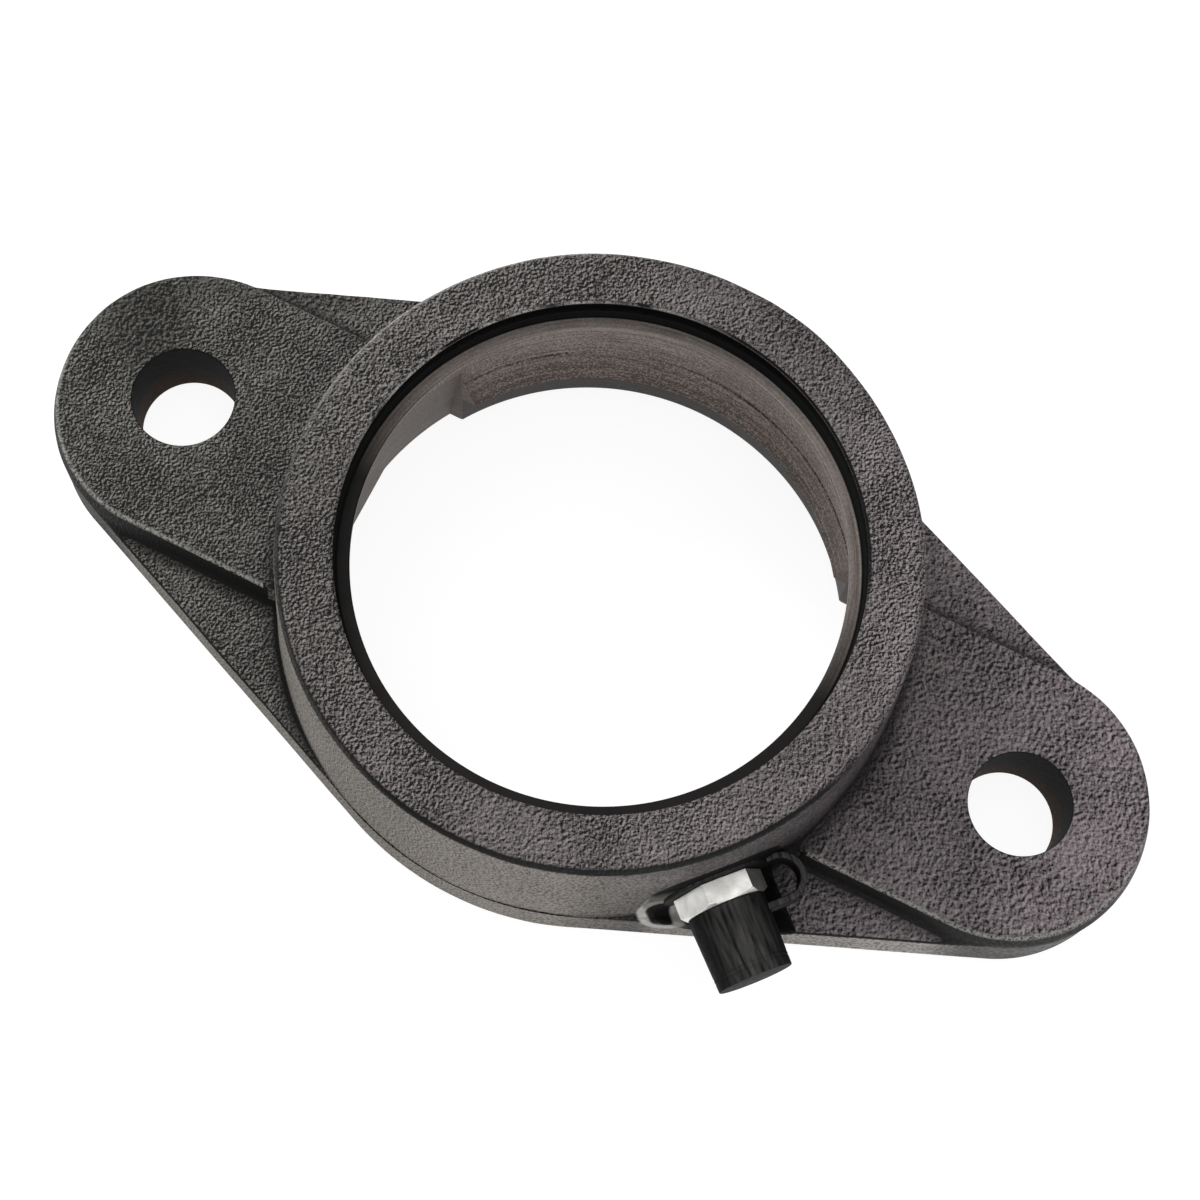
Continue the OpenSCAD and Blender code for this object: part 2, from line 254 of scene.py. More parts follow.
def cast_skin(angle, rows):
    """The cast outside at each angle: front face, rounded edge, leaning wall, hollow corner, flange top and
    rim. The fine profile is measured along its length, with extra length where it turns, and is cut into
    equal steps."""
    count = len(angle)
    column = np.ones((count, 1))
    lean = math.atan(RING_SLOPE)
    edge_z = RING_H - RING_EDGE_R
    edge_r = ring_wall(edge_z) - RING_EDGE_R / math.cos(lean)
    rim = flange_edge(angle)[:, None]
    turn = angle[:, None]
    open_edge = np.clip(beyond_band(rim * np.cos(turn), rim * np.sin(turn)) / EDGE_R, 0, 1)
    open_edge = open_edge * np.clip((rim - RING_FOOT_R) / EDGE_R, 0, 1)

    def top_at(radius):
        slant = np.where(turn < TANGENT, TANGENT - turn, 0) * (turn > EAR_TANGENT)
        to_edge = (rim - radius) * np.cos(slant)
        return flange_top(radius * np.cos(turn), radius * np.sin(turn), to_edge, open_edge)

    corner_r = np.minimum(ROOT_R, 0.5 * (rim - RING_FOOT_R)) + 1e-4
    start = ring_wall(top_at(RING_FOOT_R + corner_r) + corner_r) + corner_r
    start = np.minimum(start, rim - 1e-4)
    start_z = top_at(start)
    along = np.linspace(0, 1, ARC_STEPS)[None, :]
    face = (column * np.linspace(MOUTH_R + 2 * BREAK, edge_r, FACE_STEPS),
            column * np.full(FACE_STEPS, RING_H))
    bend = math.pi / 2 - along * (math.pi / 2 - lean)
    rounding = (column * (edge_r + RING_EDGE_R * np.cos(bend)),
                column * (edge_z + RING_EDGE_R * np.sin(bend)))
    wall_top = edge_z + RING_EDGE_R * math.sin(lean)
    wall_z = wall_top + np.linspace(0, 1, WALL_STEPS)[None, 1:] * (start_z + corner_r - wall_top)
    wall = (np.minimum(ring_wall(wall_z), start - corner_r + RING_LEAN), wall_z)
    hollow = math.pi + along * math.pi / 2
    corner = (start + corner_r * np.cos(hollow), start_z + corner_r + corner_r * np.sin(hollow))
    spread = 0.5 - 0.5 * np.cos(np.linspace(0, math.pi, FLOOR_STEPS))[None, 1:]
    floor_r = start + spread * (rim - start)
    floor = (floor_r, top_at(floor_r))
    drop = np.linspace(0, 1, WALL_STEPS)[None, 1:]
    rim_z = floor[1][:, -1:] * (1 - drop) + 2 * BREAK * drop
    side = (column * rim * np.ones_like(drop), rim_z)
    last = np.linspace(0, 1, FOOT_STEPS)[None, 1:]
    foot = (rim - 2 * BREAK * last, 2 * BREAK * column * (1 - last))
    radius, height = blend_steps((face, rounding, wall, corner, floor, side, foot))
    dr = np.diff(radius, axis=1)
    dz = np.diff(height, axis=1)
    heading = np.unwrap(np.arctan2(dz, dr + 1e-9), axis=1)
    turning = np.abs(np.diff(heading, axis=1, prepend=heading[:, :1]))
    length = np.cumsum(np.hypot(dr, dz) + TURN_WEIGHT * np.minimum(turning, 0.5), axis=1)
    length = np.hstack([np.zeros((count, 1)), length]) / length[:, -1:]
    offset = 2.0 * np.arange(count)[:, None]
    wanted = (np.linspace(0, 1, rows)[None, :] + offset).ravel()
    known = (length + offset).ravel()
    return [np.interp(wanted, known, value.ravel()).reshape(count, rows).T for value in (radius, height)]


def seat_radius(z):
    """Radius of the spherical seat at a height."""
    return np.sqrt(SEAT_R**2 - (z - SEAT_Z)**2)


def bore_profile():
    """The turned inside from the back to the lip: relief, seat with its grease groove, shoulder, mouth, lip
    groove."""
    low = np.linspace(SEAT_BACK_Z + BREAK, NIPPLE_Z - GREASE_GROOVE_R, 9)
    dip = np.linspace(-1, 1, 7)[1:-1]
    groove_z = NIPPLE_Z + GREASE_GROOVE_R * dip
    groove_r = seat_radius(groove_z) + GREASE_GROOVE_R * np.sqrt(1 - dip**2)
    middle = np.linspace(NIPPLE_Z + GREASE_GROOVE_R, SEAT_Z - 0.05, 5)
    high = np.linspace(SEAT_Z + 0.05, SEAT_FRONT_Z - BREAK, 12)
    rest = np.concatenate([middle, high])
    seat = [*zip(seat_radius(low), low), *zip(groove_r, groove_z), *zip(seat_radius(rest), rest)]
    seat_end = seat_radius(SEAT_FRONT_Z)
    groove_low, groove_high = LIP_GROOVE_Z
    back = [(RELIEF_R + 2 * BREAK, 0), (RELIEF_R, 2 * BREAK), (RELIEF_R, SEAT_BACK_Z / 2),
            (RELIEF_R, SEAT_BACK_Z - BREAK), (RELIEF_R - BREAK, SEAT_BACK_Z - 0.02),
            (seat_radius(SEAT_BACK_Z) + BREAK, SEAT_BACK_Z)]
    shoulder = [(seat_end - BREAK, SEAT_FRONT_Z), (SHOULDER_R + BREAK, SEAT_FRONT_Z),
                (SHOULDER_R, SEAT_FRONT_Z + BREAK), (SHOULDER_R, SHOULDER_Z - BREAK),
                (SHOULDER_R + BREAK, SHOULDER_Z)]
    mouth = [(MOUTH_R - BREAK, SHOULDER_Z), (MOUTH_R, SHOULDER_Z + BREAK), (MOUTH_R, groove_low - BREAK),
             (MOUTH_R + BREAK, groove_low), (LIP_GROOVE_R - BREAK, groove_low),
             (LIP_GROOVE_R, groove_low + BREAK), (LIP_GROOVE_R, groove_high - BREAK),
             (LIP_GROOVE_R - BREAK, groove_high), (MOUTH_R + BREAK, groove_high),
             (MOUTH_R, groove_high + BREAK), (MOUTH_R, RING_H - 2 * BREAK)]
    return np.array(back + seat + shoulder + mouth).T


def slot_radius(angle, z):
    """Radius of a loading slot: a cone limited by the flat at its end and by its two straight sides."""
    cone = SLOT_MOUTH_R + (SLOT_ROOT_R - SLOT_MOUTH_R) * z / SEAT_Z
    flat = SLOT_X / np.cos(np.minimum(angle, 1.2))
    sides = SLOT_HALF_W / np.maximum(np.sin(angle), 1e-6)
    return np.where(z < SEAT_Z, np.minimum(np.minimum(cone, flat), sides), 0)


def soft_noise(points, cell, seed):
    """Smooth noise from 0 to 1: random numbers on a cubic lattice, blended between the eight corners of a
    cell."""
    table = np.random.default_rng(seed).random((NOISE_CELLS,) * 3)
    place = points / cell
    base = np.floor(place).astype(int)
    part = place - base
    part = part * part * (3 - 2 * part)
    total = np.zeros(points.shape[:-1])
    for corner in np.ndindex(2, 2, 2):
        weight = np.prod(np.where(corner, part, 1 - part), axis=-1)
        at = (base + corner) % NOISE_CELLS
        total += weight * table[at[..., 0], at[..., 1], at[..., 2]]
    return total


def quarter_angles(outer, inner):
    """Angles of the columns of a quarter for each row, with columns on both corners of a loading slot's
    side."""
    first, side, last = QUARTER_COLUMNS
    steps = np.arange(first + side + last + 1)[None, :]
    parts = (np.clip(steps / first, 0, 1), np.clip((steps - first) / side, 0, 1),
             np.clip((steps - first - side) / last, 0, 1))
    outer, inner = outer[:, None], inner[:, None]
    return outer * parts[0] + (inner - outer) * parts[1] + (math.pi / 2 - inner) * parts[2]


def housing_skin():
    """The casting as one closed surface: across the back, up the bore, over the front and down the cast
    outside, for each angle of a quarter, which is then mirrored to all four; the cast rows are pitted
    inwards by soft noise."""
    bore_r, bore_z = bore_profile()
    slot_z = np.minimum(bore_z, SEAT_Z)
    corner = SLOT_MOUTH_R + (SLOT_ROOT_R - SLOT_MOUTH_R) * slot_z / SEAT_Z
    inner_r = np.where(bore_z < SEAT_Z, bore_r, SEAT_R)
    bore_angle = quarter_angles(np.arcsin(SLOT_HALF_W / corner), np.arcsin(SLOT_HALF_W / inner_r))
    bore_rows = np.maximum(bore_r[:, None], slot_radius(bore_angle, bore_z[:, None]))
    wide = np.radians(SLOT_SIDE_DEGREES)
    skin_angle = quarter_angles(np.full(1, wide[0]), np.full(1, wide[1]))
    skin_r, skin_z = cast_skin(skin_angle[0], SKIN_ROWS)
    share = (np.arange(1, BACK_ROWS + 1) / (BACK_ROWS + 1))[:, None]
    back_r = skin_r[-1:] * (1 - share) + bore_rows[:1] * share
    back_angle = skin_angle * (1 - share) + bore_angle[:1] * share
    radius = np.vstack([bore_rows, skin_r, back_r])
    angle = np.vstack([bore_angle, np.repeat(skin_angle, SKIN_ROWS, axis=0), back_angle])
    bore_height = np.repeat(bore_z[:, None], angle.shape[1], axis=1)
    height = np.vstack([bore_height, skin_z, np.zeros_like(back_r)])
    x, y = radius * np.cos(angle), radius * np.sin(angle)
    ahead, behind = slice(None, -1), slice(-1, 0, -1)
    quarters = [(1, 1, ahead), (-1, 1, behind), (-1, -1, ahead), (1, -1, behind)]
    points = np.concatenate([np.stack([sx * x[:, s], sy * y[:, s], height[:, s]], axis=-1)
                             for sx, sy, s in quarters], axis=1)
    return pitted(points, len(bore_z))


def pitted(points, first):
    """Moves the cast rows of the grid inwards along their normals by a slow wave and a pebbled noise."""
    across = np.roll(points, -1, axis=1) - np.roll(points, 1, axis=1)
    down = np.roll(points, -1, axis=0) - np.roll(points, 1, axis=0)
    normal = np.cross(across, down)
    normal /= np.linalg.norm(normal, axis=-1, keepdims=True) + 1e-9
    normal *= np.sign((normal[first + 5] @ NIPPLE_UP).mean())
    row = np.arange(len(points)) - first
    fade = np.clip(np.minimum(row, SKIN_ROWS - 1 - row) / 4, 0, 1)[:, None]
    dent = sum(depth * soft_noise(points, cell, seed)
               for seed, (cell, depth) in enumerate((WAVE, PEBBLE)))
    return points - normal * (fade * dent)[..., None]


def cut(piece, cutters):
    """Takes the cutters out of a piece and keeps the result as its mesh."""
    for cutter in cutters:
        modifier = piece.modifiers.new(cutter.name, "BOOLEAN")
        modifier.operation = "DIFFERENCE"
        modifier.solver = "MANIFOLD"
        modifier.object = cutter
    bpy.context.view_layer.update()
    shown = piece.evaluated_get(bpy.context.evaluated_depsgraph_get())
    finished = bpy.data.meshes.new_from_object(shown)
    piece.modifiers.clear()
    piece.data = finished
    for cutter in cutters:
        bpy.data.objects.remove(cutter)


def soft_edges(piece, degrees):
    """Shades a piece smoothly except across edges sharper than an angle."""
    piece.data.shade_smooth()
    piece.data.set_sharp_from_angle(angle=math.radians(degrees))


def bolt_hole_cutter(name, x):
    """A bolt hole with a soft cast mouth: a profile of (radius, height) carried round the hole's axis."""
    bend = np.linspace(math.pi, math.pi / 2, 7)
    mouth_r = BOLT_HOLE_R + HOLE_EDGE_R * (1 + np.cos(bend))
    mouth_z = BAND_H - 0.1 - HOLE_EDGE_R * (1 - np.sin(bend))
    radius = np.concatenate([[BOLT_HOLE_R], mouth_r, [mouth_r[-1] + 0.3]])
    height = np.concatenate([[-1], mouth_z, [BAND_H + 2]])
    angle = np.linspace(0, 2 * np.pi, 72, endpoint=False)
    points = np.stack([x + np.outer(radius, np.cos(angle)), np.outer(radius, np.sin(angle)),
                       np.repeat(height[:, None], len(angle), axis=1)], axis=-1)
    return capped_tube(name, points)


def nipple_hole_cutter():
    """The spot-faced flat, the threaded hole and the oil hole to the seat, turned round the nipple's axis."""
    profile = [(SPOT_R, FLAT + 14), (SPOT_R, FLAT), (THREAD_R, FLAT), (THREAD_R, THREAD_END),
               (OIL_HOLE_R, THREAD_END), (OIL_HOLE_R, THREAD_END - 6)]
    return turned_piece("nipple_hole", profile, 72)


def make_housing():
    """The casting's closed surface with its bolt holes and its nipple hole cut out."""
    piece = grid_mesh("housing_casting", housing_skin(), round_rows=True, round_columns=True)
    cut(piece, [bolt_hole_cutter("bolt_hole_right", BOLT_X), bolt_hole_cutter("bolt_hole_left", -BOLT_X),
                nipple_hole_cutter()])
    soft_edges(piece, CAST_SHARP)
    return piece


# Cap, strap and spring
def round_corners(corners, radius, steps=5):
    """A closed outline whose corners become soft curves that start a given distance before each corner and
    end as far after it: every curve is the quadratic blend of its two ends and the corner."""
    corners = np.array(corners, float)
    before = np.roll(corners, 1, axis=0) - corners
    after = np.roll(corners, -1, axis=0) - corners
    before /= np.linalg.norm(before, axis=1, keepdims=True)
    after /= np.linalg.norm(after, axis=1, keepdims=True)
    share = np.linspace(0, 1, steps)[None, :, None]
    first, last = (corners + radius * before)[:, None], (corners + radius * after)[:, None]
    curve = (1 - share)**2 * first + 2 * share * (1 - share) * corners[:, None] + share**2 * last
    return curve.reshape(-1, 2)


def make_cap():
    """The dust cap: a tapered cup with two fine lines near its closed end, carried round the nipple's axis
    from the bottom of its bore, over the mouth, to the middle of its end."""
    first, second = CAP_END - CAP_LINES[0], CAP_END - CAP_LINES[1]
    width, depth = CAP_LINE_W, CAP_LINE_W / 2
    slope = (CAP_END_R - CAP_R) / (CAP_END - CAP_MOUTH)

    def side(out):
        return CAP_R + slope * (out - CAP_MOUTH)

    corners = [(CAP_POLE_R, CAP_BORE_END), (CAP_BORE_R, CAP_BORE_END), (CAP_BORE_R, CAP_MOUTH),
               (side(CAP_MOUTH), CAP_MOUTH)]
    for line in (first, second):
        corners += [(side(line - width), line - width), (side(line) - depth, line),
                    (side(line + width), line + width)]
    corners += [(side(CAP_END), CAP_END), (CAP_POLE_R, CAP_END)]
    steps = 6
    rounded = round_corners(corners, CAP_EDGE_R, steps)[steps - 1:1 - steps]
    piece = turned_piece("dust_cap_moulding", rounded, 112)
    soft_edges(piece, MOULDED_SHARP)
    return piece


def make_strap():
    """The strap: a flat section with round edges carried along a path that leaves the ring, turns back in a
    half circle and ends at the cap's side."""
    bend = np.linspace(-math.pi / 2, math.pi / 2, 33)
    middle = STRAP_LOW + STRAP_BEND_R
    straight = np.linspace(0, 1, 7)[:-1]
    low_start, high_end = CAP_RING_R - 0.4, CAP_R - 0.5
    away = low_start + straight * (STRAP_OUT - low_start)
    home = STRAP_OUT + straight * (high_end - STRAP_OUT)
    up = np.concatenate([away, STRAP_OUT + STRAP_BEND_R * np.cos(bend), home[1:], [high_end]])
    out = np.concatenate([np.full(len(away), STRAP_LOW), middle + STRAP_BEND_R * np.sin(bend),
                          np.full(len(home), STRAP_HIGH)])
    half_w, half_t = STRAP_W / 2, STRAP_T / 2
    corners = [(-half_w, -half_t), (half_w, -half_t), (half_w, half_t), (-half_w, half_t)]
    section = round_corners(corners, STRAP_EDGE_R)
    path = np.stack([up, out], axis=1)
    along = np.gradient(path, axis=0)
    along /= np.linalg.norm(along, axis=1, keepdims=True)
    thick = np.stack([-along[:, 1], along[:, 0]], axis=1)
    across = np.repeat(section[None, :, 0], len(path), axis=0)
    place = path[:, None, :] + section[None, :, 1, None] * thick[:, None, :]
    points = on_nipple(place[..., 0], across * 0, place[..., 1]) + across[..., None] * NIPPLE_UP
    piece = capped_tube("cap_strap_band", points)
    soft_edges(piece, MOULDED_SHARP)
    return piece


def make_spring():
    """The check spring: a round wire carried along a helix on the nipple's axis, with flat closed ends."""
    steps = STEPS_PER_TURN * SPRING_TURNS
    turn = np.linspace(0, 2 * np.pi * SPRING_TURNS, steps)[:, None]
    wire = np.linspace(0, 2 * np.pi, WIRE_SIDES, endpoint=False)[None, :]
    radius = SPRING_R + WIRE_R * np.cos(wire)
    rise = np.linspace(*SPRING_ENDS, steps)[:, None]
    points = on_nipple(radius * np.cos(turn), radius * np.sin(turn), rise + WIRE_R * np.sin(wire))
    return capped_tube("check_spring_wire", points)


# Materials
def new_material(name):
    """A material with an empty node tree, its output and a shader."""
    material = bpy.data.materials.new(name)
    material.use_nodes = True
    nodes = material.node_tree.nodes
    nodes.clear()
    output = nodes.new("ShaderNodeOutputMaterial")
    shader = nodes.new("ShaderNodeBsdfPrincipled")
    material.node_tree.links.new(shader.outputs[0], output.inputs[0])
    return material, nodes, material.node_tree.links, shader


class Tree:
    """Short ways to add nodes to one material: each returns the output socket of the node that it adds."""

    def __init__(self, nodes, links):
        self.nodes, self.links = nodes, links
        self.place = nodes.new("ShaderNodeTexCoord").outputs["Object"]

    def put(self, socket, value):
        if isinstance(value, bpy.types.NodeSocket):
            self.links.new(value, socket)
        else:
            socket.default_value = value

    def math(self, operation, a, b=0.0, clamp=False):
        node = self.nodes.new("ShaderNodeMath")
        node.operation, node.use_clamp = operation, clamp
        self.put(node.inputs[0], a)
        self.put(node.inputs[1], b)
        return node.outputs[0]

    def noise(self, scale, detail=2.0, roughness=0.5, vector=None, distortion=0.0):
        node = self.nodes.new("ShaderNodeTexNoise")
        self.put(node.inputs["Vector"], vector or self.place)
        node.inputs["Scale"].default_value = scale
        node.inputs["Detail"].default_value = detail
        node.inputs["Roughness"].default_value = roughness
        node.inputs["Distortion"].default_value = distortion
        return node.outputs["Fac"]

    def lit_grain(self, scale, detail, step):
        """Grain with painted light and shade: pale on the side of each lump that faces one fixed direction
        and dark on the other; the rise of a noise over a short step."""
        ends = [self.vector("ADD", self.place, tuple(sign * step * MM * d for d in GRAIN_LIGHT_SIDE))
                for sign in (1, -1)]
        low, high = (self.noise(scale, detail, 0.55, end) for end in ends)
        return self.math("SUBTRACT", low, high)

    def both(self, *masks):
        """The product of masks."""
        product = masks[0]
        for mask in masks[1:]:
            product = self.math("MULTIPLY", product, mask)
        return product

    def either(self, *masks):
        """The largest of masks."""
        largest = masks[0]
        for mask in masks[1:]:
            largest = self.math("MAXIMUM", largest, mask)
        return largest

    def unless(self, mask):
        """The opposite of a mask."""
        return self.math("SUBTRACT", 1.0, mask)

    def above(self, value, low):
        """1 where a value is more than low millimetres."""
        return self.math("GREATER_THAN", value, low * MM)

    def under(self, value, high):
        """1 where a value is less than high millimetres."""
        return self.math("LESS_THAN", value, high * MM)

    def between(self, value, low, high, soft=0.05):
        """A mask that is 1 from low to high in millimetres, with soft ends."""
        rise = self.fade(value, low - soft, low + soft)
        return self.both(rise, self.fade(value, high + soft, high - soft))

    def pick(self, factor, a, b):
        """A number that goes from a to b with the factor."""
        node = self.nodes.new("ShaderNodeMix")
        for socket, value in zip((node.inputs[0], node.inputs[2], node.inputs[3]), (factor, a, b)):
            self.put(socket, value)
        return node.outputs[0]

    def ramp(self, factor, low, high, start=0.0, end=1.0):
        """Maps a factor from low..high to start..end and stops there."""
        node = self.nodes.new("ShaderNodeMapRange")
        self.put(node.inputs["Value"], factor)
        for name, value in (("From Min", low), ("From Max", high), ("To Min", start), ("To Max", end)):
            node.inputs[name].default_value = value
        return node.outputs[0]

    def fade(self, value, low, high, start=0.0, end=1.0):
        """A ramp along a length whose low and high are in millimetres."""
        return self.ramp(value, low * MM, high * MM, start, end)

    def mix(self, factor, a, b):
        node = self.nodes.new("ShaderNodeMix")
        node.data_type = "RGBA"
        self.put(node.inputs[0], factor)
        self.put(node.inputs[6], a)
        self.put(node.inputs[7], b)
        return node.outputs[2]

    def bump(self, height, distance, strength=1.0):
        node = self.nodes.new("ShaderNodeBump")
        node.inputs["Distance"].default_value = distance
        self.put(node.inputs["Strength"], strength)
        self.put(node.inputs["Height"], height)
        return node.outputs[0]

    def split(self, vector=None):
        node = self.nodes.new("ShaderNodeSeparateXYZ")
        self.put(node.inputs[0], vector or self.place)
        return node.outputs

    def facing(self):
        """The three parts of the direction that the surface faces."""
        return self.split(self.nodes.new("ShaderNodeNewGeometry").outputs["Normal"])

    def join(self, x, y, z):
        node = self.nodes.new("ShaderNodeCombineXYZ")
        for socket, value in zip(node.inputs, (x, y, z)):
            self.put(socket, value)
        return node.outputs[0]

    def vector(self, operation, a, b):
        node = self.nodes.new("ShaderNodeVectorMath")
        node.operation = operation
        self.put(node.inputs[0], a)
        self.put(node.inputs[1], b)
        return node.outputs["Value" if operation in ("DOT_PRODUCT", "LENGTH") else "Vector"]

    def along(self, direction):
        """Distance of a point along a direction."""
        return self.vector("DOT_PRODUCT", self.place, tuple(direction))

    def span(self, a, b):
        """Length of the vector that has two distances as its parts."""
        return self.vector("LENGTH", self.join(a, b, 0.0), (0, 0, 0))


# Colours
# Black paint between the grains; the same black is painted shade on the ring's right wall and in the corners
PAINT_BLACK_AND_SHADE = (0.003, 0.0029, 0.0027, 1)
PAINT_GRAIN_LEFT = (0.16, 0.155, 0.137, 1)
PAINT_GRAIN_RIGHT = (0.285, 0.243, 0.256, 1)
# Pale paint on edges, for wear and for painted highlights
PAINT_WORN_AND_LIT = (0.36, 0.35, 0.33, 1)
# Pale dust with painted light on walls that face the front, paler on the rim to the right; also the pale of
# cut iron on the spot-face
PALE_DUST_AND_LIGHT = (0.3, 0.275, 0.245, 1)
RIM_DUST_AND_LIGHT = (0.42, 0.4, 0.375, 1)
# Black for painted shade in the mouth, the spot-face, the bolt holes, the relief and the undercut
SHADE_BLACK = (0.0035, 0.0035, 0.0035, 1)
IRON_BROWN = (0.06, 0.045, 0.037, 1)
# Painted shade on the shoulder's near side
IRON_SHADE = (0.01, 0.009, 0.0085, 1)
IRON_GREY = (0.36, 0.295, 0.265, 1)
IRON_PALE = (0.4, 0.36, 0.335, 1)
IRON_RUST = (0.085, 0.05, 0.033, 1)
IRON_CUT = (0.5, 0.49, 0.46, 1)
ZINC_DULL = (0.62, 0.61, 0.58, 1)
ZINC_BRIGHT = (0.82, 0.81, 0.78, 1)
PLASTIC_BLACK = (0.006, 0.006, 0.0065, 1)
# Pale streaks of dust and painted sheen on the cap
PLASTIC_DUST_AND_SHEEN = (0.085, 0.083, 0.079, 1)
STEEL_MARK = (0.5, 0.5, 0.5, 1)
STEEL_CLEAR = (0.62, 0.62, 0.61, 1)

# Cells per metre of the noises, and where the casting's looks change, in millimetres
FINE_GRAINS = 2400
COARSE_GRAINS = 1650
COARSE_PATCHES = 26
PAINT_BLOTCHES = 85
GRIT = 3100
BLOOM = 120
TURNED_LINES = 2300
ZINC_CLOUDS = 420
ZINC_SCRATCHES = 3200
PLASTIC_PEEL = 1500
DUST_AND_SHEEN_STREAKS = 1700
STEEL_MARKS = 2500
# Direction from which the lumps of the grain take their painted light
GRAIN_LIGHT_SIDE = (0.9, -0.3, -0.3)
GRAIN_RELIEF = 0.24
COLOUR_REACH = 75.0
FACE_EDGE_LEFT = (40.5, 41.0)
FACE_EDGE = (41.0, 41.8)
# Direction in which the lip's pale edge of wear and painted highlight lies
LIP_WORN_AND_LIT_TOWARDS = (-0.77, 0.64, 0.0)
SHADE_SPOT_SIDE = 8.0
SHADE_SPOT_BELOW = 4.4


class CastingTree(Tree):
    """The casting's nodes, with the places, directions and noises that its paint, iron and recesses share."""

    def __init__(self, nodes, links):
        super().__init__(nodes, links)
        self.x, self.y, self.z = self.split()
        self.off_middle = self.math("ABSOLUTE", self.x)
        self.radius = self.span(self.x, self.y)
        self.out = self.along(NIPPLE_OUT)
        self.side = self.along(NIPPLE_SIDE)
        self.normal = self.facing()
        self.grit = self.noise(GRIT, detail=2.0, roughness=0.6)
        self.bloom = self.noise(BLOOM, detail=4.0)
        self.inside = self.under(self.radius, SLOT_MOUTH_R + 0.4)

    def bare(self):
        """The turned bore and the milled back."""
        bore = self.both(self.inside, self.under(self.z, SHOULDER_Z + 0.05))
        return self.either(bore, self.under(self.z, 0.02))

    def mouth(self):
        """The stepped mouth in front of the shoulder."""
        corner = self.both(self.between(self.z, SHOULDER_Z - 0.1, SHOULDER_Z + 0.3),
                           self.fade(self.radius, MOUTH_R - 0.5, MOUTH_R - 0.3))
        walls = self.both(self.under(self.radius, LIP_GROOVE_R + 0.2),
                          self.between(self.z, SHOULDER_Z + 0.1, RING_H - 0.4))
        return self.either(walls, self.both(corner, self.inside))

    def bolt_hole(self):
        """The walls of the two bolt holes."""
        from_bolt = self.math("SUBTRACT", self.off_middle, BOLT_X * MM)
        return self.under(self.span(from_bolt, self.y), BOLT_HOLE_R + 0.1)

    def spot(self):
        """The flat that is spot-faced for the nipple."""
        off_axis = self.span(self.side, self.math("SUBTRACT", self.z, NIPPLE_Z * MM))
        return self.both(self.under(off_axis, SPOT_R + 0.05), self.above(self.out, HEX_R + FLAT - 0.05))


def cast_grain(t):
    """Grain of the cast skin: where it is coarse, the height of its lumps, and the painted lit side of each
    lump.
    """
    drift = t.fade(t.x, -COLOUR_REACH, COLOUR_REACH, -0.1, 0.1)
    coarse = t.ramp(t.math("ADD", t.noise(COARSE_PATCHES, detail=2.0), drift), 0.45, 0.57)
    coarse = t.both(coarse, t.fade(t.radius, RING_FOOT_R - 1.3, RING_FOOT_R + 1.7, 0.35, 1.0))
    lumps = t.pick(coarse, t.noise(FINE_GRAINS, 2.0, 0.55), t.noise(COARSE_GRAINS, 3.0, 0.55))
    lit = t.pick(coarse, t.lit_grain(FINE_GRAINS, 2.0, 0.1), t.lit_grain(COARSE_GRAINS, 3.0, 0.14))
    return coarse, lumps, lit


def worn_and_lit_edges(t, beyond):
    """Pale edges, partly wear and partly painted highlights: the band's front edges, the lip on the far left
    and the ring's left edge.
    """
    band_edge = t.both(t.between(beyond, -1.15, -0.6, 0.2), t.between(t.z, BAND_H - 0.6, BAND_H + 0.1),
                       t.above(t.radius, RING_FOOT_R + 1.7), t.fade(t.y, 6, -6, 0.05, 1.0))
    lip_edge = t.both(t.between(t.radius, MOUTH_R - 0.2, MOUTH_R + 0.25, 0.1), t.above(t.z, RING_H - 0.5),
                      t.fade(t.along(LIP_WORN_AND_LIT_TOWARDS), 20, 31), t.ramp(t.bloom, 0.4, 0.5))
    ring_edge = t.both(t.above(t.z, RING_H - RING_EDGE_R), t.fade(t.radius, *FACE_EDGE_LEFT),
                       t.ramp(t.normal[0], -0.15, -0.35), t.ramp(t.normal[2], 0.85, 0.7),
                       t.fade(t.y, -8, 18, 0.1, 0.7))
    wear_and_highlight = t.either(t.both(band_edge, 0.7), lip_edge, ring_edge)
    return t.both(wear_and_highlight, t.ramp(t.grit, 0.35, 0.55))


def painted_shade_corners(t, beyond, step, frontwards):
    """Painted shade, black: the hollow feet of the band and the ring, the rounded edges that face the front
    (a painted dark reflection), and the band's front step."""
    ledge = t.fade(t.off_middle, 15, 24)
    front_line = t.both(t.ramp(t.normal[2], 0.93, 0.82), t.ramp(t.normal[2], 0.2, 0.4),
                        t.ramp(t.normal[1], -0.1, -0.3), t.either(ledge, t.above(t.z, 20)))
    band_foot = t.both(t.fade(beyond, 2.2, 0.4), t.fade(beyond, -0.5, -0.1),
                       t.fade(t.radius, RING_FOOT_R + 0.7, RING_FOOT_R + 1.7))
    local_top = t.pick(t.fade(beyond, -0.6, 0.6), BAND_H * MM, WEB_H * MM)
    above_top = t.math("SUBTRACT", t.z, local_top)
    ring_foot = t.both(t.fade(t.radius, RING_FOOT_R + 2.5, RING_FOOT_R + 0.5),
                       t.between(above_top, -0.6, 1.4, 0.5), t.above(t.radius, RING_FOOT_R - 0.7), ledge)
    return t.either(t.both(t.either(band_foot, ring_foot), 0.8), front_line, t.both(step, frontwards))


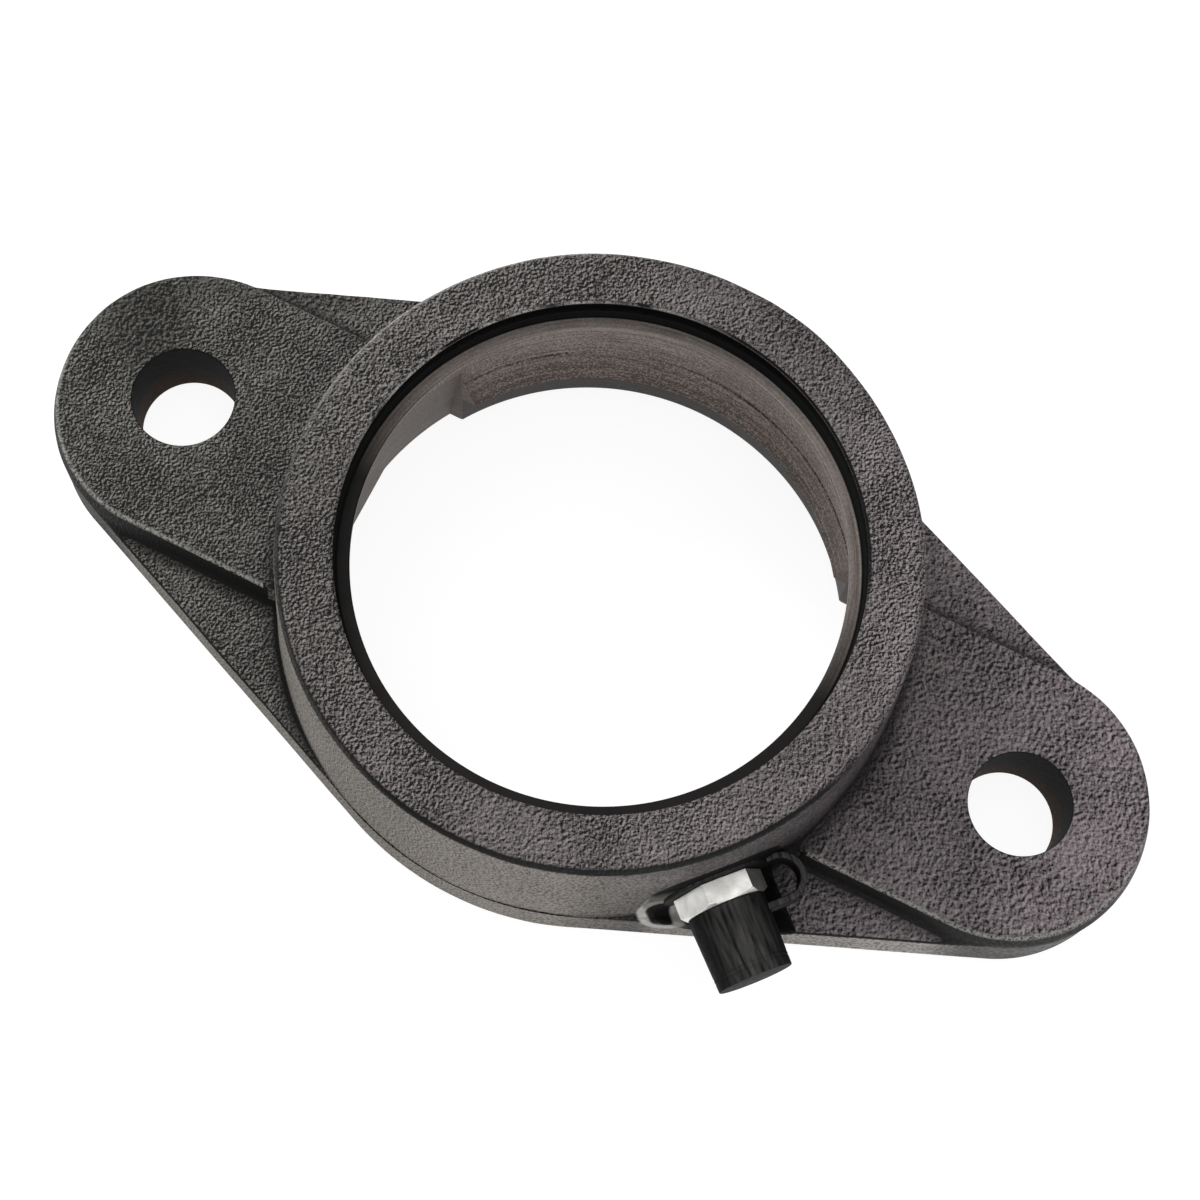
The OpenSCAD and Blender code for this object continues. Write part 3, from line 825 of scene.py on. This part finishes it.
def paint_colour(t, coarse, lit):
    """Black paint with pale grains whose tone is painted light and shade on each lump, warmer to the right,
    and pale dust with painted light on the walls that face the front; painted shade on the ring's right wall
    and in the corners, and painted highlights on edges with wear. Gives the colour, and the tone of its
    grains from black to pale."""
    past_ear = t.math("MAXIMUM", t.math("SUBTRACT", t.off_middle, EAR_X * MM), 0.0)
    beyond = t.math("SUBTRACT", t.span(past_ear, t.y), EAR_R * MM)
    upright = t.ramp(t.normal[2], 0.5, 0.2)
    frontwards = t.ramp(t.normal[1], 0.0, -0.45)
    rightwards = t.fade(t.x, -COLOUR_REACH, COLOUR_REACH)
    step = t.both(t.between(t.z, WEB_H + 0.2, BAND_H, 0.2), t.above(t.radius, RING_FOOT_R + 1.1))
    ring_right = t.both(t.fade(t.radius, RING_FOOT_R + 1.3, RING_FOOT_R + 0.7), t.fade(t.x, 14, 32))

    blotch = t.ramp(t.noise(PAINT_BLOTCHES, detail=3.0), 0.35, 0.7, 0.1, 0.34)
    slow = t.math("ADD", blotch, t.both(rightwards, 0.22))
    grain = t.both(lit, t.pick(coarse, 3.7, 2.6), t.ramp(t.normal[2], 0.1, 0.6, 0.6, 1.0))
    tone = t.math("ADD", slow, grain, clamp=True)
    paint = t.mix(tone, PAINT_BLACK_AND_SHADE, t.mix(rightwards, PAINT_GRAIN_LEFT, PAINT_GRAIN_RIGHT))

    # Pale dust and painted light from the front on the walls that face the front
    dust_and_painted_light = t.both(upright, frontwards, t.unless(step), t.unless(ring_right),
                   t.ramp(lit, -0.07, 0.07, 0.3, 1.05))
    paint = t.mix(dust_and_painted_light, paint, t.mix(t.fade(t.x, 30, 55), PALE_DUST_AND_LIGHT, RIM_DUST_AND_LIGHT))
    # Painted shade: the ring's right wall goes towards black, darker low down
    right_wall_shade = t.both(ring_right, upright, t.fade(t.z, 26, 12, 0.35, 0.85))
    paint = t.mix(right_wall_shade, paint, PAINT_BLACK_AND_SHADE)
    # Painted shade in the hollow corners, on the edges that face the front and on the band's front step
    paint = t.mix(painted_shade_corners(t, beyond, step, frontwards), paint, PAINT_BLACK_AND_SHADE)
    return t.mix(worn_and_lit_edges(t, beyond), paint, PAINT_WORN_AND_LIT), tone


def iron_colour(t, streak):
    """Bare turned iron: streaks that run round, paler towards the front, a shoulder that is pale on its far
    side with painted shade on its near side, rust in the slots' corners, dark slots, and painted shade in the
    relief and the undercut."""
    speck = t.ramp(t.grit, 0.3, 0.7, -0.6, 0.6)
    shine = t.math("ADD", t.ramp(streak, 0.32, 0.7), t.fade(t.z, 10, 27, -0.25, 0.12))
    iron = t.mix(t.math("ADD", shine, speck, clamp=True), IRON_BROWN, IRON_GREY)

    round_axis = t.join(t.radius, t.math("MULTIPLY", t.bloom, 0.0004), 0.0)
    ringed = t.noise(TURNED_LINES, detail=4.0, roughness=0.75, vector=round_axis)
    pale = t.both(t.ramp(ringed, 0.3, 0.75), t.ramp(t.grit, 0.3, 0.7, 0.5, 1.0))
    shoulder = t.above(t.z, SHOULDER_Z - 0.5)
    # Painted shade on the shoulder's near side, pale bare iron on its far side
    shade_near_pale_far = t.mix(t.fade(t.y, -4, 14), IRON_SHADE, t.mix(pale, IRON_BROWN, IRON_PALE))
    iron = t.mix(shoulder, iron, shade_near_pale_far)

    in_corner = t.between(t.math("ABSOLUTE", t.y), SLOT_HALF_W - 1.6, SLOT_HALF_W + 0.6, 0.8)
    stain = t.either(t.ramp(t.bloom, 0.58, 0.8, 0.0, 0.5),
                     t.both(in_corner, t.ramp(t.bloom, 0.3, 0.6, 0.35, 0.9)))
    iron = t.mix(t.both(stain, t.unless(shoulder)), iron, IRON_RUST)
    in_slot = t.both(t.fade(t.radius, SLOT_ROOT_R - 0.1, SLOT_ROOT_R + 0.05),
                     t.under(t.z, SEAT_Z + 0.1), t.inside)
    iron = t.mix(t.both(in_slot, t.ramp(t.grit, 0.3, 0.7, 1.0, 0.6)), iron, IRON_BROWN)
    # Painted shade: the relief behind the seat and the undercut at its front are painted near black
    relieved = t.both(t.between(t.radius, SEAT_R - 1.0, RELIEF_R + 0.05), t.under(t.z, SEAT_BACK_Z + 0.05))
    undercut = t.both(t.between(t.z, SEAT_FRONT_Z - 0.5, SEAT_FRONT_Z + 0.25), t.inside)
    return t.mix(t.both(t.either(relieved, undercut), 0.85), iron, SHADE_BLACK)


def spot_face_colour(t, colour, spot):
    """Adds to a colour the cut iron on the left of the nipple's flat, with a bright burr round a spot of
    painted shade.
    """
    lift = t.both(t.math("SUBTRACT", t.z, (NIPPLE_Z - SHADE_SPOT_BELOW) * MM), 0.5)
    from_shade_spot = t.span(t.math("ADD", t.side, SHADE_SPOT_SIDE * MM), lift)
    at_nipple = t.above(t.out, HEX_R - 5.0)
    cut_left = t.both(spot, t.fade(t.side, -4.5, -6.0), t.fade(t.z, NIPPLE_Z + 5, NIPPLE_Z + 2))
    colour = t.mix(t.both(cut_left, t.ramp(t.grit, 0.3, 0.6, 0.5, 1.0)), colour, PALE_DUST_AND_LIGHT)
    burr = t.both(t.between(from_shade_spot, 1.7, 2.9, 0.2), at_nipple, t.fade(t.z, NIPPLE_Z + 1, NIPPLE_Z))
    colour = t.mix(t.both(burr, t.ramp(t.grit, 0.25, 0.5, 0.4, 1.0)), colour, IRON_CUT)
    # Painted shade: a black spot where the flat meets the cut below the nipple
    shade_spot = t.both(t.fade(from_shade_spot, 1.8, 1.5), at_nipple)
    return t.mix(shade_spot, colour, SHADE_BLACK)


def casting_material():
    """Black paint over grainy cast iron. The seat and its shoulder are turned bare, the back is milled, the
    mouth and the bolt holes are painted black as painted shade, and the nipple's spot-face is painted black
    as shade but shows cut iron on its left."""
    material, nodes, links, shader = new_material("black_casting")
    t = CastingTree(nodes, links)
    bare, mouth, bolt_hole, spot = t.bare(), t.mouth(), t.bolt_hole(), t.spot()
    coarse, lumps, lit = cast_grain(t)
    turned = t.join(t.math("MULTIPLY", t.x, 0.04), t.math("MULTIPLY", t.y, 0.04), t.z)
    streak = t.noise(TURNED_LINES, detail=4.0, roughness=0.75, vector=turned)

    paint, tone = paint_colour(t, coarse, lit)
    colour = t.mix(bare, paint, iron_colour(t, streak))
    # Painted shade: the mouth's groove and the spot-face flat are painted black
    colour = t.mix(t.either(mouth, spot), colour, SHADE_BLACK)
    # Painted shade black in the bolt holes, with rust towards the back
    rusty = t.both(t.fade(t.z, 6.5, 2.5), t.ramp(t.bloom, 0.35, 0.6, 0.3, 1.0))
    colour = t.mix(bolt_hole, colour, t.mix(rusty, SHADE_BLACK, IRON_RUST))
    links.new(spot_face_colour(t, colour, spot), shader.inputs["Base Color"])

    gloss = t.pick(bare, t.ramp(tone, 0.0, 1.0, 0.75, 0.38), t.ramp(streak, 0.3, 0.7, 0.42, 0.6))
    links.new(t.pick(t.either(mouth, spot, bolt_hole), gloss, 0.8), shader.inputs["Roughness"])
    metal = t.both(t.math("SUBTRACT", bare, bolt_hole, clamp=True), 0.5)
    links.new(metal, shader.inputs["Metallic"])
    shader.inputs["Specular IOR Level"].default_value = 0.18

    front_edge = t.both(t.above(t.z, RING_H - RING_EDGE_R), t.fade(t.radius, *FACE_EDGE))
    sand = t.both(lumps, t.ramp(front_edge, 0.0, 1.0, 1.0, 0.35), t.pick(coarse, 0.75, 1.0))
    lines = t.math("ADD", t.both(streak, 0.06), t.both(t.grit, 0.05))
    relief = t.pick(t.either(bare, spot), sand, lines)
    links.new(t.bump(relief, GRAIN_RELIEF * MM), shader.inputs["Normal"])
    return material


def zinc_material():
    """Bright zinc plate: fine tumbling scratches and a slightly cloudy gloss."""
    material, nodes, links, shader = new_material("zinc_plate")
    t = Tree(nodes, links)
    cloud = t.noise(ZINC_CLOUDS, detail=3.0)
    scratch = t.noise(ZINC_SCRATCHES, detail=2.0, distortion=1.5)
    colour = t.mix(t.ramp(cloud, 0.35, 0.65), ZINC_DULL, ZINC_BRIGHT)
    links.new(colour, shader.inputs["Base Color"])
    shader.inputs["Metallic"].default_value = 0.9
    links.new(t.ramp(scratch, 0.3, 0.7, 0.28, 0.46), shader.inputs["Roughness"])
    relief = t.math("ADD", cloud, t.math("MULTIPLY", scratch, 0.3))
    links.new(t.bump(relief, 0.08 * MM, 0.5), shader.inputs["Normal"])
    return material


def cap_material():
    """Black moulded plastic with a faint orange peel, and pale streaks of dust and painted sheen along its
    upper side.
    """
    material, nodes, links, shader = new_material("black_plastic")
    t = Tree(nodes, links)
    peel = t.noise(PLASTIC_PEEL, detail=2.0)
    lengthwise = t.join(t.math("MULTIPLY", t.along(NIPPLE_OUT), 0.12), t.along(NIPPLE_SIDE), t.split()[2])
    # Streaks of dust and of painted sheen along the cap's length
    dust = t.noise(DUST_AND_SHEEN_STREAKS, detail=3.0, vector=lengthwise)
    dust_and_painted_light = t.both(t.ramp(t.facing()[2], 0.5, 0.98), t.ramp(dust, 0.3, 0.75))
    links.new(t.mix(dust_and_painted_light, PLASTIC_BLACK, PLASTIC_DUST_AND_SHEEN), shader.inputs["Base Color"])
    links.new(t.ramp(peel, 0.3, 0.7, 0.55, 0.72), shader.inputs["Roughness"])
    shader.inputs["Specular IOR Level"].default_value = 0.08
    links.new(t.bump(peel, 0.05 * MM, 0.35), shader.inputs["Normal"])
    return material


def steel_material():
    """Polished steel of the ball and the spring, with faint marks."""
    material, nodes, links, shader = new_material("polished_steel")
    t = Tree(nodes, links)
    marks = t.noise(STEEL_MARKS, detail=3.0)
    links.new(t.mix(t.ramp(marks, 0.4, 0.6), STEEL_MARK, STEEL_CLEAR), shader.inputs["Base Color"])
    shader.inputs["Metallic"].default_value = 1.0
    links.new(t.ramp(marks, 0.3, 0.7, 0.14, 0.26), shader.inputs["Roughness"])
    return material


def dress(piece, material):
    """Gives a piece one material."""
    piece.data.materials.clear()
    piece.data.materials.append(material)


def break_edges(node, width):
    """Merges a CAD node's loose triangles and takes the sharpness off its edges, with modifiers alone."""
    weld = node.modifiers.new("weld", "WELD")
    weld.merge_threshold = 0.002 * MM
    bevel = node.modifiers.new("bevel", "BEVEL")
    bevel.width = width * MM
    bevel.segments = 2
    bevel.limit_method = "ANGLE"
    bevel.angle_limit = math.radians(32)
    bevel.harden_normals = True


# Floor, light and camera
FLOOR_HALF = 2500.0
FLOOR_DROP = 0.1
FLOOR_GREY = (0.18, 0.18, 0.18, 1)
FLOOR_GLOW = 0.9
WHITE = (1, 1, 1, 1)
HORIZON_LIGHT = 0.08
ZENITH_LIGHT = 0.55
CAMERA_PLACE = Vector((30.989, -95.927, 343.382)) * MM
CAMERA_TARGET = Vector((1.190, -1.277, 17.0)) * MM
CAMERA_ROLL = math.radians(9.135)
CAMERA_LENS = 74.53


def make_floor():
    """A white floor that takes the shadow; its own faint glow for the camera and for reflections makes it
    white."""
    half = FLOOR_HALF
    corners = np.array([[[-half, -half, 0], [half, -half, 0]], [[-half, half, 0], [half, half, 0]]])
    floor = grid_mesh("floor", corners - [0, 0, FLOOR_DROP])
    material, nodes, links, shader = new_material("white_floor")
    shader.inputs["Base Color"].default_value = FLOOR_GREY
    shader.inputs["Roughness"].default_value = 0.9
    shader.inputs["Emission Color"].default_value = WHITE
    path = nodes.new("ShaderNodeLightPath")
    t = Tree(nodes, links)
    seen = t.math("ADD", path.outputs["Is Camera Ray"], path.outputs["Is Glossy Ray"])
    seen = t.math("ADD", seen, path.outputs["Is Transmission Ray"], clamp=True)
    links.new(t.math("MULTIPLY", seen, FLOOR_GLOW), shader.inputs["Emission Strength"])
    dress(floor, material)


def make_world():
    """A studio that is white to the camera and gives a low fill light, which grows from the horizon up."""
    world = bpy.data.worlds.new("studio")
    bpy.context.scene.world = world
    world.use_nodes = True
    nodes, links = world.node_tree.nodes, world.node_tree.links
    backdrop = nodes["Background"]
    backdrop.inputs["Color"].default_value = WHITE
    t = Tree(nodes, links)
    upwards = t.split(nodes.new("ShaderNodeTexCoord").outputs["Generated"])[2]
    fill = t.ramp(upwards, 0.05, 1.0, HORIZON_LIGHT, ZENITH_LIGHT)
    camera_ray = nodes.new("ShaderNodeLightPath").outputs["Is Camera Ray"]
    links.new(t.pick(camera_ray, fill, 1.0), backdrop.inputs["Strength"])


def softbox(name, place, size, power):
    """A square lamp that faces the object."""
    lamp = bpy.data.lights.new(name, "AREA")
    lamp.size, lamp.energy = size, power
    light = bpy.data.objects.new(name, lamp)
    bpy.context.scene.collection.objects.link(light)
    light.location = place
    light.rotation_euler = (-Vector(place)).to_track_quat("-Z", "Y").to_euler()


def make_camera():
    """The camera at the photo's angle: a level view of the target, rolled about its own axis."""
    lens = bpy.data.cameras.new("camera")
    lens.sensor_width, lens.lens = 36.0, CAMERA_LENS
    lens.clip_start = 0.01
    camera = bpy.data.objects.new("camera", lens)
    bpy.context.scene.collection.objects.link(camera)
    level = (CAMERA_TARGET - CAMERA_PLACE).to_track_quat("-Z", "Y").to_matrix().to_4x4()
    camera.matrix_world = Matrix.Translation(CAMERA_PLACE) @ level @ Matrix.Rotation(CAMERA_ROLL, 4, "Z")
    bpy.context.scene.camera = camera


make_camera()
make_floor()
make_world()
softbox("overhead_light", place=(-0.02, 0.2, 0.72), size=0.9, power=2.8)
softbox("key_light", place=(-0.5, 0.22, 0.4), size=0.3, power=3.2)
softbox("front_fill", place=(0.3, -0.6, 0.2), size=0.5, power=2.6)
bpy.context.scene.view_settings.view_transform = "Standard"

# The pieces, their materials and the bodies that carry them
casting, zinc, plastic, steel = casting_material(), zinc_material(), cap_material(), steel_material()

housing = make_housing()
dress(housing, casting)
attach(housing, "frame")
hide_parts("housing")

cap = make_cap()
dress(cap, plastic)
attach(cap, "cap")
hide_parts("dust_cap")

strap = make_strap()
dress(strap, plastic)
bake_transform(strap)
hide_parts("cap_strap")

spring = make_spring()
dress(spring, steel)
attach(spring, "frame")
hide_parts("check_spring")
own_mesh(spring)

for node, material, width in (("nipple_body", zinc, 0.15), ("cap_ring", plastic, 0.2),
                              ("check_ball", steel, 0)):
    dress(frame["nodes"][node], material)
    if width:
        break_edges(frame["nodes"][node], width)

bpy.context.view_layer.update()
